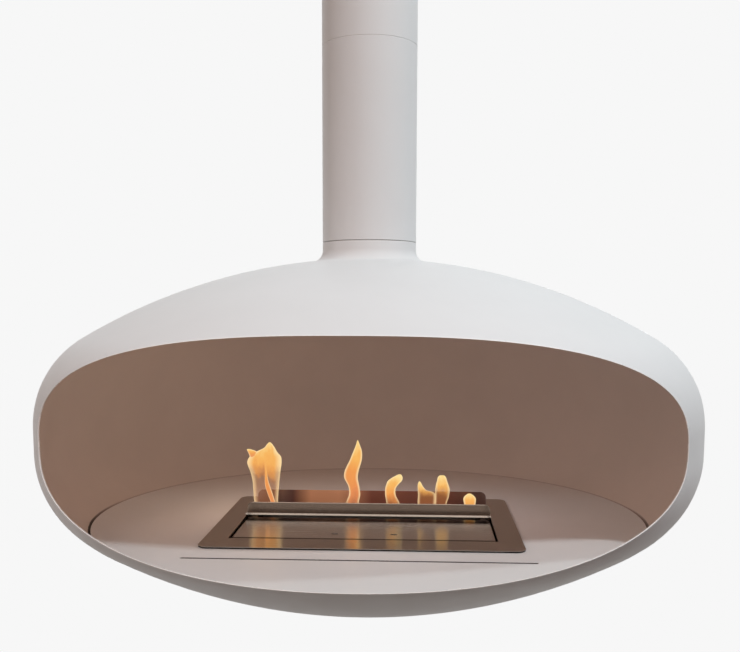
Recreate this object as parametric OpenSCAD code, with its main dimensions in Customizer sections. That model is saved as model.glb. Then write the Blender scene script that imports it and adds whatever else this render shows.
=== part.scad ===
// Hanging fireplace: a spun steel shell that turns on a ceiling pole, with a drop-in
// liquid-fuel burner and a sliding lid. Millimetres, +Z up, the opening faces -Y.
// The origin is the centre of the ceiling plate's upper face.

/* [Pole] */
// Outside diameter of the pole and of the shell's neck
pole_d = 144; // [120:1:175]
// Wall of the pole tubes
pole_wall = 3; // [2:0.5:5]
// Length of the tube between the ceiling plate and the seam
upper_tube_len = 290; // [200:5:900]
// Length of the tube between the seam and the neck
lower_tube_len = 290; // [200:5:900]
// Chamfer on the tube ends, which shows as a fine seam line
seam_chamfer = 0.6; // [0.2:0.1:1.5]
// Length of the sleeve inside the tube joint
coupling_len = 120; // [80:5:180]
// Wall of the sleeve and of the ceiling plate's spigot
coupling_wall = 4; // [3:0.5:6]
// Thread diameter of the screws through the tube walls
tube_screw_d = 5; // [4:1:6]

/* [Ceiling fixing] */
// Diameter of the ceiling plate
plate_d = 190; // [180:1:230]
// Thickness of the ceiling plate
plate_t = 6; // [4:1:12]
// Pitch circle of the anchor holes
anchor_pcd = 165; // [162:1:195]
// Number of anchor holes
anchor_count = 4; // [3:1:6]
// Diameter of the anchor holes
anchor_hole_d = 9; // [7:0.5:11]
// Length of the spigot that the upper tube slides onto
spigot_len = 50; // [40:5:80]
// Gap between the ceiling plate's edge and the inside of the rose
rose_margin = 9; // [4:1:30]
// Height of the rose's cup
rose_h = 48; // [40:1:70]
// Sheet thickness of the rose
rose_wall = 1.5; // [1:0.5:3]
// Corner radius of the rose's cup
rose_corner = 14; // [5:1:25]
// Height and thickness of the rose's clamping collar
rose_collar_h = 12; // [8:1:20]
rose_collar_t = 6; // [4:1:10]
// Diameter of the three grub screws in that collar
rose_screw_d = 4; // [3:1:5]

/* [Shell] */
// Diameter at the shell's widest line
shell_d = 1000; // [800:10:1300]
// Height of the upper half above the widest line, without the neck
upper_h = 262; // [215:1:330]
// Depth of the lower half below the widest line
lower_h = 266; // [215:1:330]
// Radius of the shoulders, where the crown turns into the side
shoulder_r = 145; // [110:1:165]
// Height of the straight band at the widest line
waist_h = 37; // [10:1:60]
// Wall of the shell
shell_wall = 3; // [2:0.5:5]
// Rise of the neck's top edge above the crown's highest point
neck_rise = 24; // [20:1:60]
// Radius of the flare between the neck and the crown
neck_flare = 17; // [5:1:20]

/* [Opening] */
// Part of the widest line that the opening takes, seen from above, in degrees
opening_angle = 114; // [80:1:130]
// Height of the opening's upper edge above the widest line
opening_top = 156; // [120:1:180]
// Depth of the opening's lower edge below the widest line
opening_bottom = 135; // [110:1:165]
// Radius of the opening's rounded ends
opening_end_r = 111; // [60:1:115]

/* [Swivel] */
// Diameter of the spindle that carries the shell
spindle_d = 30; // [24:1:36]
// Width of the thrust bearing, from the spindle to the housing
bearing_w = 11; // [10:0.5:14]
// Height of the thrust bearing
bearing_h = 12; // [10:0.5:16]
// Diameter of the bearing's balls
ball_d = 6.4; // [5:0.2:7]
// Number of balls
ball_count = 14; // [8:1:15]
// Wall of the bearing housing round the bearing
housing_wall = 8; // [5:1:10]
// Height of the bearing housing, with its flange
housing_h = 38; // [30:1:60]
// Thickness of the housing's flange and of the ring it is screwed to
flange_t = 7; // [5:1:12]
ring_t = 8; // [6:1:10]
// Wall of the bronze bush
bush_wall = 4; // [2:0.5:6]
// Radial running clearance of the spindle in its bush
running = 0.05; // [0.02:0.01:0.1]
// Gap between the pole and the neck
swivel_gap = 1; // [0.8:0.1:3]
// Thickness of the plate in the pole's lower end and of the spindle's head
end_plate_t = 12; // [8:1:20]
spindle_head_t = 8; // [6:1:14]
// Thread diameter of the bolts through the spindle's head and of those in the housing's flange
spindle_bolt_d = 8; // [6:1:8]
housing_bolt_d = 6; // [5:1:8]
// Thickness of the washer under the bearing
washer_t = 3; // [2:0.5:5]
// Height of the castle nut and diameter of its split pin
nut_h = 18; // [15:1:24]
pin_d = 4; // [3:0.5:5]

/* [Hearth] */
// Thickness of the hearth plate
hearth_t = 4; // [3:0.5:8]
// Drop from the opening's lower edge to the hearth plate
hearth_drop = 5; // [1:0.5:12]
// Gap between the hearth plate and the shell
hearth_gap = 1; // [0.5:0.5:4]
// Number of lugs that carry the hearth plate
lug_count = 6; // [3:1:8]
// Width, in degrees, and inward reach of each lug
lug_angle = 6; // [3:1:12]
lug_reach = 30; // [20:1:45]
// Thickness of the lugs' sheet and depth of the leg along the wall
lug_t = 3; // [2:0.5:5]
lug_leg = 26; // [15:1:40]
// Width of the groove that takes the foot of a glass screen
groove_w = 6; // [5:0.5:10]
// Distance from the burner's front edge to the groove
groove_ahead = 49; // [30:1:70]
// Depth of the channel under the groove
groove_depth = 16; // [10:1:20]
// Gap between the ends of that channel and the shell
groove_margin = 39; // [15:1:60]

/* [Burner] */
// Width of the burner's rim
burner_w = 450; // [360:1:545]
// Depth of the burner's rim, front to back
burner_d = 350; // [300:1:430]
// Distance from the pole's axis to the burner's front edge
burner_front = 231; // [200:1:260]
// Width of the rim at the sides, the front and the back
rim_side = 34; // [25:1:45]
rim_front = 52; // [25:1:60]
rim_back = 35; // [25:1:45]
// Thickness and corner radius of the rim
rim_t = 2.5; // [1.5:0.5:5]
rim_corner = 16; // [8:1:24]
// Thickness of the burner's folded sheet and corner radius of its well
sheet_t = 1.5; // [1:0.5:2]
well_corner = 4; // [3:0.5:8]
// Clearance between the tank's lower corners and the shell
tank_clear = 15; // [8:1:30]
// Clearance between the tank and the cut-out in the hearth plate
cutout_gap = 8; // [2:0.5:12]
// Depth of the flame slot, front to back
slot_d = 94; // [70:1:110]
// Height of the baffles above the rim
baffle_h = 20; // [14:1:40]
// Corner radius at the top of the baffles
baffle_corner = 10; // [4:1:14]
// Width of the front baffle's foot flange
baffle_foot = 15; // [8:1:18]
// Height of the gap that the lid slides through, and of the folded edge above it
lid_headroom = 5.5; // [4:0.5:10]
hem_h = 4; // [2:0.5:6]
// Gap round the lid, seen from above, and radius of the lid's corners
lid_gap = 2.5; // [2:0.5:5]
lid_corner = 8; // [4:1:14]
// Height of the lid's folded sides and of the deck's folded edges
lid_fold = 8; // [5:1:12]
deck_fold = 12; // [8:1:20]
// Width and depth of the two tool slots in the lid, and the distance between them
tool_slot_w = 9; // [6:1:14]
tool_slot_d = 6; // [4:1:10]
tool_slot_pitch = 86; // [60:1:140]
// Height of the absorbent pad
pad_h = 34; // [15:1:40]
// Thickness of the mesh over the pad, and diameter and pitch of its holes
mesh_t = 1; // [0.5:0.5:2]
mesh_hole_d = 6; // [4:1:9]
mesh_pitch = 14; // [12:1:20]

/* [Hidden] */

// Clearances that several pieces share
weld_gap = 0.1;    // between pieces that are welded or pressed together
slide_gap = 0.3;   // between a piece and what it slides or turns on
sleeve_gap = 0.2;  // between the pole tubes and what fits inside them
bolt_slack = 0.2;  // all round a bolt in a hole that it passes through
over = 1;          // how far a cut runs past the face it opens
hair = 0.03;       // how far one arc passes the next where two of them run together
fine = 180;        // facets of a full circle

// Pole, from the ceiling down
pole_r = pole_d / 2;
bore_r = pole_r - pole_wall;
sleeve_r = bore_r - sleeve_gap;
upper_tube_z = -plate_t - upper_tube_len;
lower_tube_z = upper_tube_z - lower_tube_len;
spigot_screw_z = -plate_t - spigot_len / 2;
coupling_screw_rise = coupling_len / 4;
rose_r = plate_d / 2 + rose_margin;
screw_sunk = 0.4;  // how far a countersunk head lies under the tube's face

// Shell, measured from its widest line, which lies at waist_z
shell_r = shell_d / 2;
band = waist_h / 2;
neck_top = upper_h + neck_rise;
waist_z = lower_tube_z - swivel_gap - neck_top;
opening_half_w = shell_r * sin(opening_angle / 2);
opening_half_h = (opening_top + opening_bottom) / 2;
opening_mid = (opening_top - opening_bottom) / 2;

// Swivel, measured from the widest line
ring_sunk = 1.5;   // how far the neck ring lies under the neck's edge
ring_z = neck_top - ring_sunk - ring_t;
housing_top = ring_z;
housing_z = housing_top - housing_h;
flange_margin = 6;
housing_flange_r = bore_r - flange_margin;
bearing_od = spindle_d + 2 * bearing_w;
hub_r = bearing_od / 2 + housing_wall;
housing_bolt_r = (hub_r + housing_flange_r) / 2;
ball_r = ball_d / 2;
ball_pitch_r = (spindle_d + bearing_od) / 4;
race_groove = 1.1;
race_t = (bearing_h - ball_d + 2 * race_groove) / 2;
bearing_top = housing_z + race_t + 1;
bearing_z = bearing_top - bearing_h;
ball_z = bearing_top - bearing_h / 2;
nut_flats = spindle_d * 1.53;
nut_z = bearing_z - washer_t - nut_h;
spindle_chamfer = 2;
spindle_end = nut_z - 2 * spindle_chamfer;
pin_z = nut_z + pin_d / 2 + 1;
castle_depth = pin_d + 2;
end_plate_z = neck_top + swivel_gap;
spindle_head_r = spindle_d * 1.4;
spindle_bolt_r = spindle_d * 1.03;

// Hearth, measured from the widest line
hearth_top = -opening_bottom - hearth_drop;
hearth_z = hearth_top - hearth_t;
groove_y = -burner_front - groove_ahead;
channel_z = hearth_z - groove_depth;
channel_half = sqrt(pow(bowl_r(-channel_z), 2) - pow(groove_y - groove_w / 2 - sheet_t, 2)) - groove_margin;

// Burner, measured from the widest line; the well is the space inside the rim
well_half = burner_w / 2 - rim_side;
well_front = -burner_front + rim_front;
well_back = -burner_front + burner_d - rim_back;
tank_corner_r = norm([well_half + sheet_t, max(-well_front, well_back) + sheet_t]);
tank_z = -bowl_depth(tank_corner_r) + tank_clear;
rim_top = hearth_top + rim_t;
deck_sunk = 3;     // how far the deck lies under the hearth plate's top
deck_top = hearth_top - deck_sunk;
lid_half = well_half - lid_gap;
lid_slack = 1;     // between the lid's folded sides and the deck's edges
deck_half = lid_half - sheet_t - lid_slack;
lid_z = deck_top + slide_gap;
lid_top = lid_z + sheet_t;
hem_z = lid_top + lid_headroom;
baffle_top = rim_top + baffle_h;
rear_y = well_back - well_corner - weld_gap - sheet_t;
slot_edge = 6;     // from the slot to the rear baffle
slot_back = rear_y - slot_edge;
slot_front = slot_back - slot_d;
slot_side = 10;    // from the slot to the deck's sides
slot_half = deck_half - slot_side;
baffle_y = slot_front - slot_edge / 2;
lid_front = well_front + lid_gap;
lid_back = baffle_y - 4;
tool_slot_y = lid_front + (lid_back - lid_front) * 0.31;
tab_z = deck_top - deck_fold;
pad_z = tank_z + sheet_t;
pad_half = slot_half - 2;

// Radius of the crown's arc in a half of height h
function crown_r(h) = (pow(shell_r - shoulder_r, 2) + pow(h - band, 2) - pow(shoulder_r, 2))
    / (2 * (h - band - shoulder_r));

// Depth below the widest line at which the lower half's crown arc takes over from the shoulder
function bowl_turn() = let (centre = lower_h - crown_r(lower_h), across = shell_r - shoulder_r)
    band + (shoulder_r - shell_wall) * (band - centre) / norm([across, band - centre]);

// Inside radius of the lower half at a depth z below the widest line
function bowl_r(z) = z < band ? shell_r - shell_wall
    : z < bowl_turn() ? shell_r - shoulder_r + sqrt(pow(shoulder_r - shell_wall, 2) - pow(z - band, 2))
    : sqrt(pow(crown_r(lower_h) - shell_wall, 2) - pow(z - lower_h + crown_r(lower_h), 2));

// Depth of the lower half's inside at a radius r under its crown arc
function bowl_depth(r) = lower_h - crown_r(lower_h) + sqrt(pow(crown_r(lower_h) - shell_wall, 2) - r * r);

// ---------------------------------------------------------------- shared shapes

// A rectangle with rounded corners, about its own centre
module rounded_rect(w, d, r) {
    square([w - 2 * r, d], center = true);
    square([w, d - 2 * r], center = true);
    for (x = [-1, 1], y = [-1, 1])
        translate([x * (w / 2 - r), y * (d / 2 - r)]) circle(r = r, $fn = 48);
}

// A flat plate with rounded corners between two heights and two y values
module plate(half_w, y0, y1, z0, z1, r) {
    translate([0, (y0 + y1) / 2, z0]) linear_extrude(z1 - z0) rounded_rect(2 * half_w, y1 - y0, r);
}

// A box about x = 0
module bar(half_w, y0, y1, z0, z1) {
    translate([-half_w, y0, z0]) cube([2 * half_w, y1 - y0, z1 - z0]);
}

// A pair of equal boxes at the left and right
module bar_pair(x0, x1, y0, y1, z0, z1) {
    for (side = [0, 1]) mirror([side, 0, 0]) translate([x0, y0, z0]) cube([x1 - x0, y1 - y0, z1 - z0]);
}

module ring(r_in, r_out, z, h) {
    translate([0, 0, z]) difference() {
        cylinder(r = r_out, h = h, $fn = fine);
        translate([0, 0, -over]) cylinder(r = r_in, h = h + 2 * over, $fn = fine);
    }
}

// A tube of the pole with a chamfer at both ends
module pole_tube(z, len) {
    translate([0, 0, z]) rotate_extrude($fn = fine) polygon([
        [bore_r, 0], [pole_r - seam_chamfer, 0], [pole_r, seam_chamfer],
        [pole_r, len - seam_chamfer], [pole_r - seam_chamfer, len], [bore_r, len]
    ]);
}

// A countersunk screw along +X with its flat head at x = pole_r; grow makes the hole for it
module wall_screw(grow = 0) {
    head_r = tube_screw_d;
    head_h = tube_screw_d / 2;
    shank = pole_wall + sleeve_gap + coupling_wall;
    translate([pole_r - shank - grow, 0, 0]) rotate([0, 90, 0])
        cylinder(d = tube_screw_d + 2 * grow, h = shank + 2 * grow, $fn = 32);
    translate([pole_r - head_h - screw_sunk, 0, 0]) rotate([0, 90, 0])
        cylinder(r1 = tube_screw_d / 2 + grow, r2 = head_r + grow, h = head_h, $fn = 48);
    if (grow > 0)
        translate([pole_r - screw_sunk - grow, 0, 0]) rotate([0, 90, 0])
            cylinder(r = head_r + grow, h = screw_sunk + over, $fn = 48);
}

// Puts its children at the spigot's three screw places
module at_spigot_screws() {
    for (a = [90, 210, 330]) translate([0, 0, spigot_screw_z]) rotate([0, 0, a]) children();
}

// Puts its children at the four screw places on the pole's back, two in each tube
module at_coupling_screws() {
    for (a = [62, 118], side = [-1, 1])
        translate([0, 0, upper_tube_z + side * coupling_screw_rise]) rotate([0, 0, a]) children();
}

// Puts its children on a circle, at count places
module around(count, r) {
    for (i = [0 : count - 1]) rotate([0, 0, 360 * i / count]) translate([r, 0, 0]) children();
}

// A socket-head screw that points up, with its head under z = 0
module cap_screw(d, len, grow = 0) {
    translate([0, 0, -d]) difference() {
        cylinder(d = d * 1.6, h = d, $fn = 32);
        translate([0, 0, -over]) cylinder(d = d * 0.9, h = d / 2 + over, $fn = 6);
    }
    cylinder(d = d, h = len, $fn = 32);
}

// Half-section of the solid that a half's face encloses, above the widest line. grow moves the
// face outward, and the shoulder's arc is a hair larger than one that just touches the crown's
module half_section(h, grow) {
    crown = [0, h - crown_r(h)];
    shoulder = [shell_r - shoulder_r, band];
    reach = 3;
    intersection() {
        square([shell_r + over, h + over]);
        union() {
            square([shell_r + grow, band]);
            translate(shoulder - [hair, 0]) circle(r = shoulder_r + grow + hair, $fn = 360);
            intersection() {
                translate(crown) circle(r = crown_r(h) + grow, $fn = 720);
                polygon([crown, crown + reach * (shoulder - crown), [0, h + shell_r]]);
            }
        }
    }
}

// The same with the neck and its flare
module upper_section(grow) {
    crown = [0, upper_h - crown_r(upper_h)];
    flare_x = pole_r + neck_flare;
    flare = [flare_x, crown[1] + sqrt(pow(crown_r(upper_h) + neck_flare, 2) - pow(flare_x, 2))];
    foot = crown + (crown_r(upper_h) - 2 * shell_wall) * (flare - crown) / norm(flare - crown);
    top = neck_top + (grow < 0 ? over : 0);
    difference() {
        union() {
            half_section(upper_h, grow);
            polygon([[0, foot[1]], foot, flare, [pole_r + grow, flare[1]], [pole_r + grow, top], [0, top]]);
        }
        translate(flare) circle(r = neck_flare - grow + hair, $fn = fine);
    }
}

// Half-section of the space inside the lower half, less a gap to its wall, upside down
module bowl_section(gap) {
    half_section(lower_h, -shell_wall - gap);
}

// Outline of the opening: two long arcs, and an end arc at each side a hair larger than one
// that would just touch them
module opening_outline() {
    a = opening_half_w;
    h = opening_half_h;
    e = opening_end_r;
    long_r = (a * a - 2 * a * e + h * h) / (2 * (h - e));
    join_x = long_r * (a - e) / (long_r - e);
    intersection() {
        square([2 * join_x, 4 * h], center = true);
        translate([0, h - long_r]) circle(r = long_r, $fn = 720);
        translate([0, long_r - h]) circle(r = long_r, $fn = 720);
    }
    for (side = [-1, 1]) translate([side * (a - e), 0]) circle(r = e + hair, $fn = fine);
}

module opening_cut() {
    translate([0, 0, opening_mid]) rotate([90, 0, 0]) linear_extrude(shell_r + over) opening_outline();
}

// Moves its children from the shell's own heights to the part's
module hung() {
    translate([0, 0, waist_z]) children();
}

// ---------------------------------------------------------------- pole and ceiling

module ceiling_plate() {
    color("lightgray") difference() {
        union() {
            translate([0, 0, -plate_t]) cylinder(d = plate_d, h = plate_t, $fn = fine);
            ring(sleeve_r - coupling_wall, sleeve_r, -plate_t - spigot_len, spigot_len + over);
        }
        around(anchor_count, anchor_pcd / 2)
            translate([0, 0, -plate_t - over]) cylinder(d = anchor_hole_d, h = plate_t + 2 * over, $fn = 48);
        at_spigot_screws() wall_screw(weld_gap);
    }
}

module spigot_screws() {
    color("silver") at_spigot_screws() wall_screw();
}

module ceiling_rose() {
    inner_r = rose_r - rose_wall;
    hole_r = pole_r + slide_gap;
    color("whitesmoke") difference() {
        union() {
            rotate_extrude($fn = fine) difference() {
                translate([0, -rose_h]) rose_half(rose_r, rose_corner, rose_h - slide_gap);
                translate([0, -rose_h + rose_wall]) rose_half(inner_r, rose_corner - rose_wall, rose_h);
            }
            ring(hole_r, hole_r + rose_collar_t, -rose_h - rose_collar_h, rose_collar_h + rose_wall);
        }
        translate([0, 0, -rose_h - rose_collar_h - over]) cylinder(r = hole_r, h = rose_h, $fn = fine);
        at_rose_screws()
            cylinder(d = rose_screw_d + 2 * weld_gap, h = rose_collar_t * 3, center = true, $fn = 32);
    }
}

// Half-section of a cup of radius r and height h with a rounded lower corner
module rose_half(r, corner, h) {
    square([r - corner, h]);
    translate([0, corner]) square([r, h - corner]);
    translate([r - corner, corner]) circle(r = corner, $fn = fine);
}

// Puts its children on the axes of the rose's three grub screws, at the middle of the collar
module at_rose_screws() {
    for (a = [90, 210, 330])
        translate([0, 0, -rose_h - rose_collar_h / 2]) rotate([0, 0, a])
            translate([pole_r + slide_gap + rose_collar_t / 2, 0, 0]) rotate([0, 90, 0]) children();
}

module rose_screws() {
    color("dimgray") at_rose_screws() difference() {
        cylinder(d = rose_screw_d, h = rose_collar_t, center = true, $fn = 32);
        translate([0, 0, (rose_collar_t - rose_screw_d) / 2])
            cylinder(d = rose_screw_d * 0.55, h = rose_screw_d, $fn = 6);
    }
}

module upper_tube() {
    color("gainsboro") difference() {
        pole_tube(upper_tube_z, upper_tube_len);
        at_spigot_screws() wall_screw(weld_gap);
        at_coupling_screws() wall_screw(weld_gap);
    }
}

module lower_tube() {
    color("gainsboro") difference() {
        pole_tube(lower_tube_z, lower_tube_len);
        at_coupling_screws() wall_screw(weld_gap);
    }
}

module pole_coupling() {
    color("slategray") difference() {
        ring(sleeve_r - coupling_wall, sleeve_r, upper_tube_z - coupling_len / 2, coupling_len);
        at_coupling_screws() wall_screw(weld_gap);
    }
}

module coupling_screws() {
    color("silver") at_coupling_screws() wall_screw();
}

// ---------------------------------------------------------------- swivel

module end_plate() {
    color("slategray") hung() difference() {
        ring(spindle_d / 2 + weld_gap, sleeve_r, end_plate_z, end_plate_t);
        around(4, spindle_bolt_r) translate([0, 0, end_plate_z - over])
            cylinder(d = spindle_bolt_d + weld_gap, h = end_plate_t + 2 * over, $fn = 32);
    }
}

module spindle() {
    head_z = end_plate_z + end_plate_t;
    color("silver") hung() difference() {
        union() {
            translate([0, 0, spindle_end + spindle_chamfer])
                cylinder(d = spindle_d, h = head_z - spindle_end, $fn = fine);
            translate([0, 0, spindle_end])
                cylinder(r1 = spindle_d / 2 - spindle_chamfer, r2 = spindle_d / 2, h = spindle_chamfer,
                    $fn = fine);
            translate([0, 0, head_z]) cylinder(r = spindle_head_r, h = spindle_head_t, $fn = fine);
        }
        around(4, spindle_bolt_r) translate([0, 0, head_z - over])
            cylinder(d = spindle_bolt_d + 2 * bolt_slack, h = spindle_head_t + 2 * over, $fn = 32);
        translate([0, 0, pin_z]) rotate([90, 0, 0])
            cylinder(d = pin_d + 2 * slide_gap, h = spindle_d + 2 * over, center = true, $fn = 32);
    }
}

module spindle_bolts() {
    head_top = end_plate_z + end_plate_t + spindle_head_t;
    color("silver") hung() around(4, spindle_bolt_r) translate([0, 0, head_top]) mirror([0, 0, 1])
        cap_screw(spindle_bolt_d, spindle_head_t + end_plate_t - 2);
}

// One washer of the thrust bearing, with the ball groove in the face towards the balls
module race(r_in, r_out, z) {
    difference() {
        ring(r_in, r_out, z, race_t);
        rotate_extrude($fn = fine)
            translate([ball_pitch_r, ball_z]) circle(r = ball_r + slide_gap, $fn = 64);
    }
}

module lower_race() {
    color("silver") hung() race(spindle_d / 2 + weld_gap, bearing_od / 2 - 0.5, bearing_z);
}

module upper_race() {
    color("silver") hung() race(spindle_d / 2 + 1, bearing_od / 2, bearing_top - race_t);
}

module ball_cage() {
    gap = bearing_h - 2 * race_t;
    cage_t = gap - 1.6;
    color("goldenrod") hung() difference() {
        ring(spindle_d / 2 + 0.7, bearing_od / 2 - 0.8, ball_z - cage_t / 2, cage_t);
        around(ball_count, ball_pitch_r)
            translate([0, 0, ball_z]) cylinder(r = ball_r + slide_gap, h = gap, center = true, $fn = 48);
    }
}

module bearing_balls() {
    color("silver") hung() around(ball_count, ball_pitch_r)
        translate([0, 0, ball_z]) sphere(r = ball_r, $fn = 48);
}

module bearing_housing() {
    bush_r = spindle_d / 2 + running + bush_wall;
    color("slategray") hung() difference() {
        union() {
            translate([0, 0, housing_z]) cylinder(r = hub_r, h = housing_h, $fn = fine);
            translate([0, 0, housing_top - flange_t])
                cylinder(r = housing_flange_r, h = flange_t, $fn = fine);
        }
        translate([0, 0, housing_z - over]) cylinder(r = bush_r, h = housing_h + 2 * over, $fn = fine);
        translate([0, 0, housing_z - over])
            cylinder(d = bearing_od + 2 * weld_gap, h = bearing_top - housing_z + over, $fn = fine);
        around(6, housing_bolt_r) translate([0, 0, housing_top - flange_t - over])
            cylinder(d = housing_bolt_d + 2 * bolt_slack, h = flange_t + 2 * over, $fn = 32);
    }
}

module spindle_bush() {
    r_in = spindle_d / 2 + running;
    color("peru") hung() {
        ring(r_in, r_in + bush_wall, bearing_top, housing_top - bearing_top);
        ring(r_in, r_in + bush_wall + 4, housing_top, 2);
    }
}

module neck_ring() {
    color("slategray") hung() difference() {
        ring(hub_r + 4, bore_r - weld_gap, ring_z, ring_t);
        around(6, housing_bolt_r) translate([0, 0, ring_z - over])
            cylinder(d = housing_bolt_d + weld_gap, h = ring_t + 2 * over, $fn = 32);
    }
}

module housing_bolts() {
    color("silver") hung() around(6, housing_bolt_r)
        translate([0, 0, housing_top - flange_t]) cap_screw(housing_bolt_d, flange_t + ring_t - 1);
}

module friction_ring() {
    color("black") hung() ring(bore_r + 0.5, pole_r - 0.8, neck_top, swivel_gap - slide_gap);
}

module spindle_washer() {
    color("silver") hung() ring(spindle_d / 2 + weld_gap, bearing_od / 2, bearing_z - washer_t, washer_t);
}

module castle_nut() {
    color("silver") hung() difference() {
        translate([0, 0, nut_z]) cylinder(r = nut_flats / 2 / cos(30), h = nut_h, $fn = 6);
        translate([0, 0, nut_z - over])
            cylinder(d = spindle_d + 2 * weld_gap, h = nut_h + 2 * over, $fn = fine);
        for (a = [30, 90, 150]) rotate([0, 0, a])
            translate([-nut_flats, -pin_d / 2 - 0.5, nut_z - over])
                cube([2 * nut_flats, pin_d + 1, castle_depth + over]);
    }
}

module split_pin() {
    half = nut_flats / 2 + 4;
    color("silver") hung() translate([0, 0, pin_z]) rotate([0, 0, 90]) {
        rotate([0, 90, 0]) cylinder(d = pin_d, h = 2 * half, center = true, $fn = 32);
        translate([half + pin_d, 0, 0]) rotate([90, 0, 0])
            rotate_extrude($fn = 64) translate([pin_d, 0]) circle(d = pin_d / 2, $fn = 24);
    }
}

// ---------------------------------------------------------------- shell

module upper_shell() {
    color("white") hung() difference() {
        rotate_extrude($fn = 360) difference() {
            upper_section(0);
            upper_section(-shell_wall);
        }
        opening_cut();
    }
}

module lower_shell() {
    color("white") hung() difference() {
        mirror([0, 0, 1]) rotate_extrude($fn = 360) difference() {
            half_section(lower_h, 0);
            bowl_section(0);
        }
        opening_cut();
    }
}

// ---------------------------------------------------------------- hearth

// Lugs welded to the shell: a level shelf under the plate and a leg along the wall
module hearth_lugs() {
    top = -hearth_z;
    shelf_in = bowl_r(top) - lug_reach;
    color("lightgray") hung() for (i = [0 : lug_count - 1])
        rotate([0, 0, 360 * (i + 0.5) / lug_count - lug_angle / 2]) mirror([0, 0, 1])
            rotate_extrude(angle = lug_angle, $fn = fine) {
                intersection() {
                    bowl_section(weld_gap);
                    translate([shelf_in, top]) square([2 * lug_reach, lug_t]);
                }
                intersection() {
                    difference() {
                        bowl_section(weld_gap);
                        bowl_section(lug_t);
                    }
                    translate([0, top]) square([shell_r, lug_leg]);
                }
            }
}

module hearth_plate() {
    color("white") hung() difference() {
        mirror([0, 0, 1]) rotate_extrude($fn = 360) intersection() {
            bowl_section(hearth_gap);
            translate([0, -hearth_top]) square([shell_r, hearth_t]);
        }
        plate(well_half + sheet_t + cutout_gap, well_front - sheet_t - cutout_gap,
            well_back + sheet_t + cutout_gap, hearth_z - over, hearth_top + over, well_corner);
        plate(channel_half, groove_y - groove_w / 2, groove_y + groove_w / 2,
            hearth_z - over, hearth_top + over, groove_w / 2 - 0.01);
    }
}

module glass_channel() {
    inner = groove_w / 2;
    outer = inner + sheet_t;
    color("lightgray") hung() difference() {
        bar(channel_half + sheet_t, groove_y - outer, groove_y + outer, channel_z, hearth_z);
        bar(channel_half, groove_y - inner, groove_y + inner, channel_z + sheet_t, hearth_z + over);
    }
}

// ---------------------------------------------------------------- burner

module burner_frame() {
    color("saddlebrown") hung() difference() {
        plate(burner_w / 2, -burner_front, burner_d - burner_front, hearth_top, rim_top, rim_corner);
        plate(well_half, well_front, well_back, hearth_top - over, rim_top + over, well_corner);
    }
}

module fuel_tank() {
    color("rosybrown") hung() difference() {
        plate(well_half + sheet_t, well_front - sheet_t, well_back + sheet_t, tank_z, hearth_top,
            well_corner + sheet_t);
        plate(well_half, well_front, well_back, tank_z + sheet_t, hearth_top + over, well_corner);
    }
}

// The deck closes the tank in front of the flame slot. Its edges are folded down
module burner_deck() {
    front = well_front + weld_gap;
    back = rear_y - weld_gap;
    color("rosybrown") hung() difference() {
        union() {
            bar(deck_half, front, back, deck_top - sheet_t, deck_top);
            bar(deck_half - 4, front, front + sheet_t, deck_top - deck_fold, deck_top);
            bar(deck_half - 4, back - sheet_t, back, deck_top - deck_fold, deck_top);
            bar(slot_half + sheet_t, slot_front - sheet_t, slot_back + sheet_t,
                deck_top - deck_fold, deck_top);
        }
        plate(slot_half, slot_front, slot_back, deck_top - deck_fold - over, deck_top + over, well_corner);
    }
}

// Upright sheet of a baffle with rounded upper corners, its front face at y
module baffle_sheet(half, y, z0) {
    translate([0, y + sheet_t, 0]) rotate([90, 0, 0]) linear_extrude(sheet_t) {
        translate([-half, z0]) square([2 * half, baffle_top - z0 - baffle_corner]);
        translate([-half + baffle_corner, z0]) square([2 * (half - baffle_corner), baffle_top - z0]);
        for (side = [-1, 1])
            translate([side * (half - baffle_corner), baffle_top - baffle_corner])
                circle(r = baffle_corner, $fn = 96);
    }
}

// The front baffle bridges the well, so that the lid can slide under it
module front_baffle() {
    half = well_half - weld_gap;
    color("sienna") hung() {
        baffle_sheet(half, baffle_y, hem_z);
        bar(half, baffle_y - baffle_foot, baffle_y + over, hem_z, hem_z + sheet_t);
        bar(half, baffle_y - baffle_foot, baffle_y - baffle_foot + sheet_t, hem_z, hem_z + hem_h);
        bar_pair(half - sheet_t, half, baffle_y - baffle_foot, baffle_y + sheet_t, tab_z, hem_z + over);
    }
}

module rear_baffle() {
    color("sienna") hung() baffle_sheet(well_half - weld_gap, rear_y, tab_z);
}

module absorbent_pad() {
    color("ivory") hung() plate(pad_half, slot_front, slot_back, pad_z, pad_z + pad_h, well_corner);
}

module pad_mesh() {
    columns = floor((2 * pad_half - mesh_pitch) / mesh_pitch);
    rows = floor((slot_d - mesh_pitch) / mesh_pitch);
    color("gray") hung() difference() {
        plate(pad_half, slot_front, slot_back, pad_z + pad_h, pad_z + pad_h + mesh_t, well_corner);
        for (i = [0 : columns], j = [0 : rows])
            translate([
                (i - columns / 2) * mesh_pitch,
                (slot_front + slot_back) / 2 + (j - rows / 2) * mesh_pitch,
                pad_z + pad_h - over
            ]) cylinder(d = mesh_hole_d, h = mesh_t + 2 * over, $fn = 24);
    }
}

// The lid rests on the deck, and its folded sides run along the deck's edges
module sliding_lid() {
    color("sienna") hung() difference() {
        union() {
            plate(lid_half, lid_front, lid_back, lid_z, lid_top, lid_corner);
            bar_pair(lid_half - sheet_t, lid_half, lid_front + lid_corner, lid_back - lid_corner,
                lid_top - lid_fold, lid_top);
        }
        for (side = [-1, 1]) translate([side * tool_slot_pitch / 2, tool_slot_y, lid_z - over])
            linear_extrude(sheet_t + 2 * over) square([tool_slot_w, tool_slot_d], center = true);
    }
}

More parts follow.
